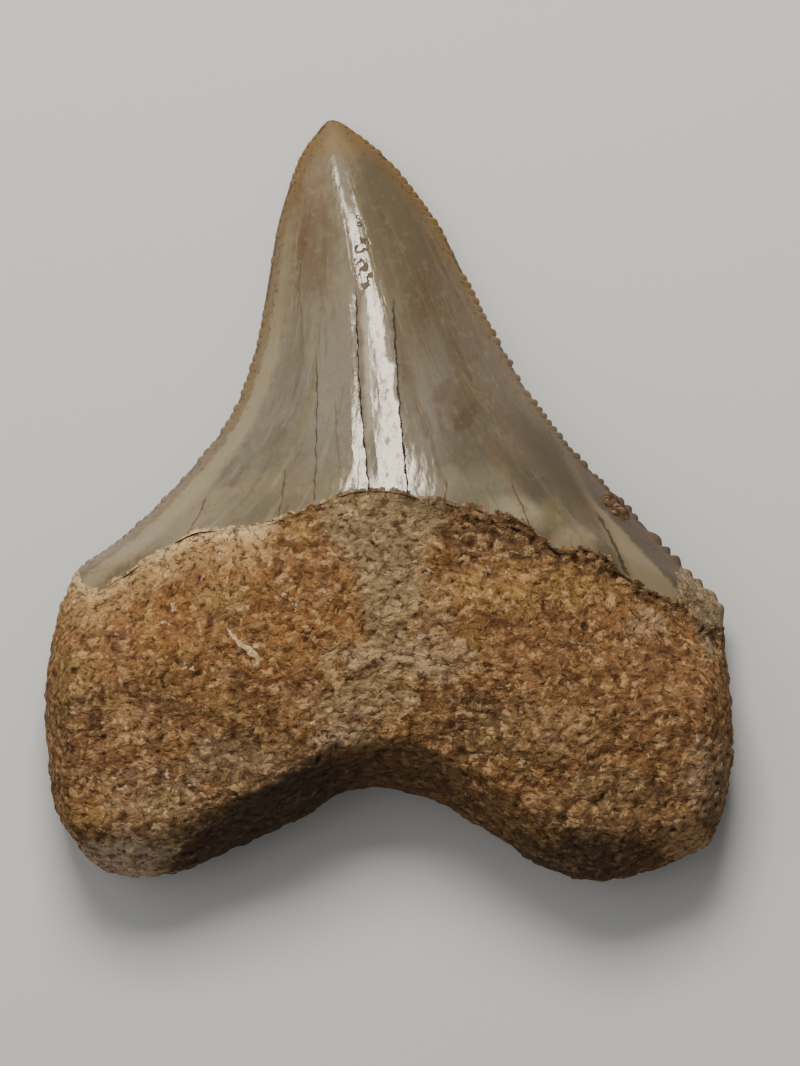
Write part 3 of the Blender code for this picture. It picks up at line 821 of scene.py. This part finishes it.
def root_finish():
    finish = Finish("fossil_root_grain", Roughness=0.92, Metallic=0.0)
    finish.shader.inputs["Specular IOR Level"].default_value = 0.15
    place = finish.place
    ragged = finish.warped(place, 6.0, 5.0)
    x, y = finish.part(ragged, "X"), finish.part(ragged, "Y")
    lift, lingual = finish.attribute("lift"), finish.attribute("lingual")
    worn = finish.noise(place, 1.9, detail=5.0, rough=0.7)
    ragged_edge = (worn - 0.5) * 2.2
    broad = finish.noise(place, 6.0, detail=5.0, rough=0.65)
    colour = finish.mix(ROOT_BROWN, ROOT_DARK_BROWN, broad.ease(0.42, 0.6))
    for cx, cy, half_width, half_length, patch_tint, strength in ROOT_PATCHES:
        mask = (finish.falloff(x, y, (cx, cy, half_width, half_length)) + ragged_edge).ease(0.1, 0.9)
        colour = finish.mix(colour, patch_tint, mask * lingual * strength)
    hue = finish.noise(finish.moved(place, (11, 5, 3)), 4.2, detail=4.0, rough=0.6)
    varied = 1 - x.ease(6, 14) * 0.5
    colour = finish.mix(colour, tint(108, 76, 62), hue.ease(0.55, 0.68) * varied * 0.55)
    colour = finish.mix(colour, tint(136, 112, 64), hue.ease(0.45, 0.32) * varied * 0.5)
    pale = finish.noise(finish.moved(place, (2, 13, 7)), 3.0, detail=5.0, rough=0.7)
    colour = finish.mix(colour, tint(162, 134, 100), pale.ease(0.55, 0.70) * varied * 0.5)
    wedge = (y + 19.5) * 0.42 - (x + 0.4).abs() + ragged_edge * 1.2
    colour = finish.mix(colour, OLIVE_GREY, wedge.ease(-1.4, 1.6) * y.ease(-20, -14) * lingual * 0.8)
    below = ragged_edge * 1.6 - lift
    sandy = below.ease(5.5, 2.5) * x.ease(-12.0, -17.0) * (1 - x.ease(-25.0, -31.0) * 0.4)
    colour = finish.mix(colour, SANDY, sandy * 0.75)
    pale_band = below.ease(1.7, 0.7) * x.ease(-10.0, -16.0) * (1 - x.ease(-27.0, -31.0) * 0.35)
    colour = finish.mix(colour, CREAM, pale_band * 0.75)
    dark = 0
    for cx, cy, half_width, half_length in CRUMBLED:
        patch = (cx, cy, half_width * 1.4, half_length * 1.35)
        dark = (finish.falloff(x, y, patch) + ragged_edge).ease(0.0, 0.7).most(dark)
    colour = finish.mix(colour, tint(92, 70, 50), dark * lingual * 0.8)
    dark_rim = (lift + ragged_edge * 0.7).ease(-1.9, -0.5) * x.ease(1.0, 7.0)
    colour = finish.mix(colour, tint(82, 64, 46), dark_rim * lingual * 0.5)
    # Painted shade: the face darkens towards the underside's fold on the left.
    fold = finish.attribute("basal") + ragged_edge * 0.7
    colour = finish.mix(colour, tint(92, 76, 58), fold.ease(-3.8, 0.2) * x.ease(-3, -9) * 0.5)
    # The underside below the fold: painted shade, with some darker dirt.
    basal = finish.attribute("basal") + ragged_edge * (0.5 + x.ease(-9, 4) * 0.8)
    basal = basal.ease(-0.6, 0.9)
    colour = finish.mix(colour, BASAL_SHADE_AND_DIRT, basal * (0.92 - x.ease(-10, 4) * 0.52 + x.ease(12, 18) * 0.4 - x.ease(25, 31) * 0.3))
    height, tone = crumbs(finish, place)
    colour = grained(finish, colour, height, tone, light=1 - basal * (0.8 - x.ease(-8, 6) * 0.35))
    here_x, here_y = finish.part(place, "X"), finish.part(place, "Y")
    sliver_along = (here_x + 19.6) * 0.72 - (here_y + 15.0) * 0.70
    sliver_off = ((here_x + 19.6) * 0.70 + (here_y + 15.0) * 0.72 + (worn - 0.5) * 1.5).abs()
    wide = sliver_along.ease(1.2, 4.0) * 0.2 + 0.14
    sliver = (sliver_off / wide).ease(1.1, 0.7) * sliver_along.ease(0, 0.5) * sliver_along.ease(6.0, 5.0)
    colour = finish.mix(colour, tint(208, 180, 138), sliver * lingual * 0.9)
    for cx, cy, half_width, half_length in ROOT_SPOTS:
        spot = (finish.falloff(here_x, here_y, (cx, cy, half_width, half_length)) + ragged_edge * 0.6)
        colour = finish.mix(colour, tint(66, 40, 26), spot.ease(0.0, 0.8) * lingual * 0.75)
    specks = finish.noise(finish.moved(place, (5.5, 2.2, 8.8)), 1.3, detail=3.0, rough=0.6)
    low_lobe = finish.falloff(x, y, (-28, -38, 10, 7)).ease(0.0, 0.6) * 0.6
    clusters = finish.noise(place, 6.0, detail=2.0) + low_lobe
    colour = finish.mix(colour, SPECK, specks.ease(0.60, 0.68) * clusters.ease(0.5, 0.65) * (0.7 - basal * 0.6))
    # Painted shade in hollows and painted highlight on raised parts, from the grain's height less its blur.
    cavity = finish.attribute("cavity")
    colour = finish.mix(colour, CREVICE_SHADE_AND_DIRT, cavity.ease(-0.03, -0.26) * 0.75)
    colour = finish.mix(colour, FLAKE_AND_HIGHLIGHT, cavity.ease(0.08, 0.26) * 0.25)
    # A dark line along the enamel's border: partly painted shade under the enamel's ledge, partly the root's own
    # darker colour.
    seam = (lift.abs() + (height - 0.5) * 0.9).ease(0.6, 0.1)
    shaded = x.ease(-17.0, -13.0).most(x.ease(-24.0, -22.0) * x.ease(-17.0, -20.0) * 0.6)
    colour = finish.mix(colour, tint(58, 38, 22), seam * shaded * 0.45)
    finish.feed(finish.shader.inputs["Base Color"], colour)
    finish.feed(finish.shader.inputs["Normal"], finish.bump(height, 0.42))
    return finish.material


# Cracks of the enamel: top x and y, bottom x and y, bend, half width, depth of colour.
CRACKS = [
    (-4.1, 26.6, -2.4, 1.0, -0.35, 0.14, 0.95),
    (0.3, 26.2, 2.2, 0.6, -0.25, 0.18, 1.0),
    (-8.8, 18.5, -9.0, 0.0, 0.15, 0.09, 0.65),
    (-12.4, 4.6, -13.3, -2.4, 0.1, 0.10, 0.6),
    (-6.6, 12.6, -6.0, 3.8, 0.0, 0.14, 0.3),
    (-11.0, 27.0, -10.4, 16.0, 0.1, 0.24, 0.16),
    (-7.8, 24.0, -7.6, 17.0, 0.0, 0.20, 0.14),
    (-3.6, 7.0, -3.9, 1.0, 0.0, 0.10, 0.2),
    (6.6, 2.8, 6.5, -1.0, 0.1, 0.12, 0.5),
    (14.3, 2.6, 16.8, -3.6, 0.15, 0.12, 0.6),
    (24.4, -0.8, 28.4, -9.2, 0.3, 0.32, 0.65),
    (-21.8, 0.8, -24.2, -3.8, 0.2, 0.16, 0.45),
]

# The brown stain below the tip: centre x and y, half width, half length.
STAIN = (-9.2, 31.0, 3.6, 8.4)

# Patches of the enamel's colour, one of them a painted sheen: centre x and y, half width, half length, colour and
# strength.
ENAMEL_PATCHES = [
    (-22, 0, 16, 9, tint(118, 105, 80), 0.8),
    (-10, 12, 9, 12, tint(106, 101, 91), 0.6),
    (2, 36, 8, 9, tint(87, 76, 57), 0.8),
    (9, 26, 8, 9, tint(86, 70, 53), 0.8),
    (19, 12, 8, 14, tint(84, 71, 54), 0.8),
    (-11, 39, 5, 7, tint(106, 83, 55), 0.7),
    (*STAIN, tint(80, 54, 26), 1.0),
    (-13.9, 7.4, 2.2, 3.2, tint(87, 76, 58), 0.6),
    (-33, -7.5, 8, 5, tint(92, 76, 52), 0.85),
    (-14.5, -1.6, 8, 3.4, tint(86, 81, 64), 0.75),
    (14.8, -1.6, 4.8, 3.0, tint(154, 144, 118), 0.8),
    (4.6, 12.0, 3.8, 11.0, tint(112, 107, 95), 0.7),
    (7.4, 12.2, 2.6, 3.4, tint(92, 76, 60), 0.3),
    (7.2, 29.6, 1.8, 1.8, tint(98, 86, 48), 0.4),
    (10.0, 5.6, 5.0, 6.0, tint(82, 77, 65), 0.6),
    (11.6, 1.8, 4.8, 3.2, tint(106, 101, 84), 0.7),
    (20, 2.6, 6.0, 4.4, tint(70, 66, 55), 0.8),
    (19.5, -1.6, 1.8, 2.6, tint(98, 94, 57), 0.6),
    (21.6, -5.6, 3.0, 3.4, tint(140, 123, 95), 0.85),
    (-7.0, 44.5, 7, 4, tint(115, 94, 58), 0.8),
    (-18.5, 5.6, 7, 4.6, tint(92, 86, 72), 0.85),
    (-16.5, 11.0, 7, 10, tint(94, 86, 70), 0.5),
    (6.0, 2.0, 3.4, 2.6, tint(134, 124, 104), 0.4),
    (-29, -4.5, 5, 3, tint(96, 86, 68), 0.6),
    (13.4, -1.6, 4.2, 2.4, tint(124, 113, 92), 0.8),
    # Painted sheen: a pale strip of half-glossy enamel beside the first long crack.
    (-2.5, 17.0, 0.9, 10.0, tint(160, 152, 136), 0.8),
]

# Marks that slant up to the right, placed along the slant and across it, in the same order.
SLANTED_MARKS = [
    (-3.2, -15.4, 3.0, 0.9, tint(88, 78, 62), 0.75),
    (14.2, -3.6, 2.0, 1.1, tint(78, 62, 46), 0.4),
    (13.6, 0.6, 2.6, 1.3, tint(76, 60, 46), 0.6),
    (17.6, 7.6, 1.4, 0.7, tint(84, 72, 54), 0.5),
    (14.6, 17.3, 1.6, 1.1, tint(88, 74, 56), 0.6),
]

ENAMEL_GREY = tint(106, 95, 76)
ENAMEL_BROWN = tint(87, 75, 58)
STREAK = tint(76, 63, 46)
RIM_OCHRE = tint(109, 85, 50)
RIM_DARK = tint(53, 38, 23)


def crack_mask(finish, x, y, uneven, crack):
    top_x, top_y, low_x, low_y, bend, width, depth = crack
    share = (y - low_y) / (top_y - low_y)
    middle = share * (top_x - low_x) + low_x + share * (1 - share) * (4 * bend)
    ends = share.ease(-0.01, 0.02) * share.ease(1.0, 0.8)
    off = (x - middle).abs() / (uneven * width)
    return off.ease(1.0, 0.4) * ends * depth, off.ease(5.0, 0.5) * ends * depth


# The plates on either side of the two long cracks: the crack, the height and reach of the plate's
# rise on its left, the same on its right, and the share of the crack where the right one starts.
PLATES = [
    (CRACKS[0], -0.16, 1.6, -0.12, 1.3, 0.0),
    (CRACKS[1], 0.12, 4.0, 0.15, 2.2, 0.16),
]
WORN_PLACES = [(0.2, 20.2, 1.0, 4.8), (0.9, 15.0, 0.6, 4.0)]


def plates(finish, x, y, mottle):
    """Heights that tip the plates between the long cracks, and where their gloss is worn."""
    tilts, offs = 0, []
    for crack, left_rise, left_reach, right_rise, right_reach, start in PLATES:
        top_x, top_y, low_x, low_y, bend, width, depth = crack
        share = (y - low_y) / (top_y - low_y)
        off = x - (share * (top_x - low_x) + low_x + share * (1 - share) * (4 * bend))
        left = (off / ((1 - share * 0.5) * left_reach) + 1).most(0) * off.ease(0.06, -0.06)
        right = (1 - off / right_reach).most(0) * off.ease(-0.06, 0.06) * share.ease(start, start + 0.12)
        tilts = (left * left_rise + right * right_rise) * share.ease(1.0, 0.88) + tilts
        offs.append(off)
    off = offs[0] + (mottle - 0.5) * 1.2
    worn = off.ease(0.0, 0.2) * off.ease(1.4, 1.0) * y.ease(26.5, 24.0) * y.ease(1.0, 3.0) * 0.42
    for place in WORN_PLACES:
        worn = ((finish.falloff(x, y, place) + (mottle - 0.5) * 1.5).ease(0.0, 0.5) * 0.9).most(worn)
    return tilts, worn


def enamel_finish():
    finish = Finish("fossil_enamel", Metallic=0.0, IOR=1.56, Specular_Tint=tint(255, 249, 236))
    place = finish.place
    across, lingual = finish.attribute("across"), finish.attribute("lingual")
    lift, rim = finish.attribute("lift"), finish.attribute("rim")
    lobe, damage = finish.attribute("lobe"), finish.attribute("damage")
    here_x, here_y = finish.part(place, "X"), finish.part(place, "Y")
    flow = finish.node("ShaderNodeCombineXYZ", {}, [across * 14, here_y * 0.07, lingual * 5])
    below_tip = here_y.ease(42, 26)
    streaks = finish.noise(flow, 0.6, detail=4.0, rough=0.65)
    broad = finish.noise(flow, 2.2, detail=2.0)
    broad_marks = finish.noise(place, 2.6, detail=2.0)
    hue = finish.noise(finish.moved(flow, (3, 7, 1)), 1.5, detail=3.0)
    ragged = finish.warped(place, 4.0, 3.0)
    x, y = finish.part(ragged, "X"), finish.part(ragged, "Y")
    mottle = finish.noise(place, 1.4, detail=5.0, rough=0.7)
    blotches = finish.noise(finish.moved(place, (7, 3, 2), (1.2, 0.6, 1)), 3.4, detail=4.0, rough=0.6)
    colour = finish.mix(ENAMEL_GREY, ENAMEL_BROWN, (across + (broad - 0.5) * 1.2).ease(-0.4, 0.5))
    for cx, cy, half_width, half_length, patch_tint, strength in ENAMEL_PATCHES:
        mask = finish.falloff(x, y, (cx, cy, half_width, half_length)) + (mottle - 0.5) * 0.8
        colour = finish.mix(colour, patch_tint, mask.ease(-0.1, 1.1) * lingual * strength)
    stain = finish.falloff(x, y, STAIN).ease(-0.1, 0.7) * lingual
    greenish = hue.ease(0.54, 0.68) * below_tip * (across.ease(0.2, -0.2) * 0.35 + 0.12)
    colour = finish.mix(colour, tint(104, 98, 62), greenish)
    colour = finish.mix(colour, tint(104, 84, 62), hue.ease(0.46, 0.34) * below_tip * (0.35 - stain * 0.35))
    colour = finish.mix(colour, tint(72, 56, 38), blotches.ease(0.56, 0.74) * 0.4)
    colour = finish.mix(colour, tint(126, 116, 88), blotches.ease(0.44, 0.28) * 0.3)
    colour = finish.mix(colour, STREAK, streaks.ease(0.54, 0.72) * below_tip * 0.5)
    colour = finish.mix(colour, tint(140, 130, 106), streaks.ease(0.44, 0.28) * below_tip * (0.35 - across.ease(0.1, 0.4) * 0.2))
    colour = finish.mix(colour, tint(88, 70, 48), (mottle - 0.5).ease(0.03, 0.16) * 0.3)
    colour = finish.mix(colour, tint(86, 66, 42), damage.ease(0.0, 0.5) * 0.7)
    colour = finish.mix(colour, tint(120, 112, 86), (mottle - 0.5).ease(-0.04, -0.16) * 0.25)
    slant_x, slant_y = here_x * 0.64 + here_y * 0.77, here_x * 0.77 - here_y * 0.64
    for cx, cy, half_width, half_length, patch_tint, strength in SLANTED_MARKS:
        mask = finish.falloff(slant_x, slant_y, (cx, cy, half_width, half_length)) + (mottle - 0.5) * 2.2
        colour = finish.mix(colour, patch_tint, mask.ease(0.0, 0.8) * lingual * strength)
    fleck = finish.noise(place, 0.5, detail=2.0)
    band = rim + (mottle - 0.5) * 1.8
    colour = finish.mix(colour, tint(100, 78, 48), band.ease(2.1, 0.7) * 0.6)
    inner = band.ease(3.4, 4.4) * band.ease(7.0, 5.2) * across.ease(-0.3, -0.5) * y.ease(12, 18)
    colour = finish.mix(colour, tint(94, 80, 60), inner * 0.35)
    flank = band.ease(6.0, 2.6) * across.ease(0.3, 0.6) * y.ease(15, 5)
    colour = finish.mix(colour, tint(70, 58, 40), flank * 0.85)
    # Painted sheen: a pale band inside the left cutting edge, where the flared face catches the light.
    pale_band = band.ease(0.8, 1.3) * band.ease(3.4, 2.2) * across.ease(-0.5, -0.8)
    colour = finish.mix(colour, tint(136, 122, 94), pale_band * y.ease(38, 30) * (0.7 - y.ease(16, 26) * 0.35))
    bevel = rim + (mottle - 0.5) * 0.9
    shoulder = (here_x + here_y * 0.5).ease(23.0, 25.0)
    colour = finish.mix(colour, tint(126, 110, 85), bevel.ease(7.0, 5.8) * shoulder * 0.9)
    colour = finish.mix(colour, tint(70, 56, 43), bevel.ease(2.6, 2.0) * shoulder * 0.9)
    ochre = (rim + (fleck - 0.5) * 0.7).ease(0.7, 0.3) * (0.75 - across.ease(0.0, 0.5) * y.ease(24, 8) * 0.5)
    colour = finish.mix(colour, RIM_OCHRE, ochre)
    gaps = (rim + (fleck - 0.5) * 0.3).ease(0.5, 0.15) * lobe.ease(0.55, 0.25)
    colour = finish.mix(colour, RIM_DARK, gaps * 0.7)
    dots = (fleck - 0.5).ease(0.1, 0.16) * rim.ease(2.0, 0.7)
    colour = finish.mix(colour, RIM_DARK, dots * 0.6)
    wobble = finish.noise(finish.moved(place, (0, 0, 0), (0.3, 1, 1)), 1.4, detail=3.0) - 0.5
    uneven = (finish.noise(finish.moved(place, (0, 4, 0), (0.2, 1, 1)), 1.1, detail=3.0) - 0.3) * 3.4
    uneven = uneven.most(0.3)
    crack_x = here_x + wobble * 0.6
    cracks, halos = None, None
    for crack in CRACKS:
        line, halo = crack_mask(finish, crack_x, here_y, uneven, crack)
        cracks = line if cracks is None else cracks.most(line)
        halos = halo if halos is None else halos.most(halo)
    cracks = cracks * lingual
    colour = finish.mix(colour, tint(80, 66, 48), halos * lingual * 0.35)
    colour = finish.mix(colour, tint(34, 25, 16), cracks)
    tilted, worn_side = plates(finish, crack_x, here_y, mottle)
    leaned = crack_x + here_y * 0.17
    etched = finish.falloff(leaned, here_y, (1.45, 30.0, 1.5, 5.0)).ease(0.0, 0.4)
    etched = etched * (broad_marks - 0.46).ease(0.0, 0.06) * lingual
    worms = (finish.noise(finish.warped(place, 1.2, 1.4), 1.5, detail=1.0) - 0.5).abs()
    marks = worms.ease(0.06, 0.02) * etched
    colour = finish.mix(colour, tint(74, 61, 44), marks * 0.75)
    height, tone = crumbs(finish, place)
    ends = (x.ease(32.6, 35.6) * 2.2).most(x.ease(-35.5, -37.5) * 0.6)
    right = across.ease(0.05, 0.35)
    crust_edge = lift - (mottle - 0.5) * (2.6 + right * 2.0) - ends * 2.6
    broken = (damage + (mottle - 0.5) * 1.4).ease(0.35, 0.65)
    crust = crust_edge.ease(0.5, 0.1).most(broken)
    crust_tint = finish.mix(CREAM, tint(104, 80, 54), across.ease(-0.4, -0.1))
    crust_tint = finish.mix(crust_tint, tint(126, 108, 82), x.ease(31.5, 34.0))
    crust_tint = finish.mix(crust_tint, tint(88, 64, 42), damage.ease(0.1, 0.4))
    colour = finish.mix(colour, grained(finish, crust_tint, height, tone), crust * 0.9)
    shade = (lift + (mottle - 0.5) * 0.9).ease(0.4, 0.0) * across.ease(-0.5, -0.25)
    colour = finish.mix(colour, tint(70, 48, 30), shade * 0.5)
    finish.feed(finish.shader.inputs["Base Color"], colour)
    scuffs = finish.noise(finish.moved(place, (2, 9, 4), (1.5, 0.6, 1)), 1.0, detail=4.0, rough=0.7)
    strip = (crack_x + here_y * 0.22 - 3.0).abs().ease(0.75, 0.3) * here_y.ease(33.0, 36.0)
    worn_tip = (here_y + (mottle - 0.5) * 4).ease(39.6, 41.8)
    dull = crust.most(marks).most(cracks.ease(0.0, 0.12)).most(worn_tip).most(worn_side * lingual).most(flank * 0.8)
    dull = dull.most(strip * lingual * 0.94).most(scuffs.ease(0.52, 0.68) * 0.65)
    worn = finish.blend(dull, Roughness=0.55, Metallic=0.0)
    worn.inputs["Specular IOR Level"].default_value = 0.2
    finish.feed(worn.inputs["Base Color"], colour)
    finish.feed(finish.shader.inputs["Roughness"], 0.16 + scuffs.ease(0.45, 0.7) * 0.12)
    ripple = finish.noise(flow, 0.9, detail=2.0) * (0.25 + below_tip * 0.75)
    strokes = finish.noise(finish.moved(place, (4, 1, 6), (1.0, 0.35, 1)), 0.9, detail=1.5, rough=0.5)
    normal = finish.bump(tilted * lingual, 1.0)
    normal = finish.bump(ripple + scuffs * 0.15 + strokes * 0.7, 0.072, under=normal)
    normal = finish.bump(height * crust - cracks.ease(0.2, 0.9) - marks * 0.5, 0.25, under=normal)
    finish.feed(finish.shader.inputs["Normal"], normal)
    finish.feed(worn.inputs["Normal"], normal)
    return finish.material


# -------------------------------------------------------------------------------- floor, light, view


def make_floor():
    deselect_all()
    bpy.ops.mesh.primitive_plane_add(size=6.0, location=(0, 0, -0.05 * MM))
    floor = bpy.context.object
    floor.name = "floor"
    finish = Finish("pale_floor", Roughness=0.7)
    finish.shader.inputs["Base Color"].default_value = tint(196, 196, 194)
    floor.data.materials.append(finish.material)


def add_softbox(name, place, target, size, watts, colour=(1, 1, 1)):
    light = bpy.data.lights.new(name, "AREA")
    light.shape = "RECTANGLE"
    light.size, light.size_y = size
    light.energy = watts
    light.color = colour
    holder = bpy.data.objects.new(name, light)
    holder.location = place
    holder.rotation_euler = (Vector(target) - Vector(place)).to_track_quat("-Z", "Y").to_euler()
    bpy.context.scene.collection.objects.link(holder)


def make_light():
    add_softbox("key", (-0.05, 0.39, 0.46), (0, 0, 0), (0.27, 0.20), 5.0, (1.0, 0.96, 0.895))
    add_softbox("fill", (-0.75, 0.20, 0.7), (0, 0, 0), (1.1, 1.1), 4.0, (1.0, 0.98, 0.95))
    world = bpy.data.worlds.new("studio")
    bpy.context.scene.world = world
    world.use_nodes = True
    world.node_tree.nodes["Background"].inputs["Color"].default_value = (0.98, 0.99, 1.0, 1)
    world.node_tree.nodes["Background"].inputs["Strength"].default_value = 0.25


# The camera looks straight down at the tooth, square to its face.
VIEW_CENTRE = (1.2, -3.8)
VIEW_WIDTH = 96.0
CAMERA_HEIGHT = 1500.0
SENSOR = 36.0


def make_camera():
    camera = bpy.data.cameras.new("camera")
    camera.sensor_fit = "HORIZONTAL"
    camera.sensor_width = SENSOR
    camera.lens = SENSOR * CAMERA_HEIGHT / VIEW_WIDTH
    camera.clip_start = 0.01
    holder = bpy.data.objects.new("camera", camera)
    holder.location = (VIEW_CENTRE[0] * MM, VIEW_CENTRE[1] * MM, (CAMERA_HEIGHT + RIM_AT_SHOULDER) * MM)
    bpy.context.scene.collection.objects.link(holder)
    bpy.context.scene.camera = holder


root = make_root()
root.data.materials.append(root_finish())
crown = make_crown()
crown.data.materials.append(enamel_finish())
for piece, slot in ((root, "fossil_root"), (crown, "enamel")):
    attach(piece, "root")
    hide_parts("megalodon_tooth")
make_floor()
make_light()
make_camera()
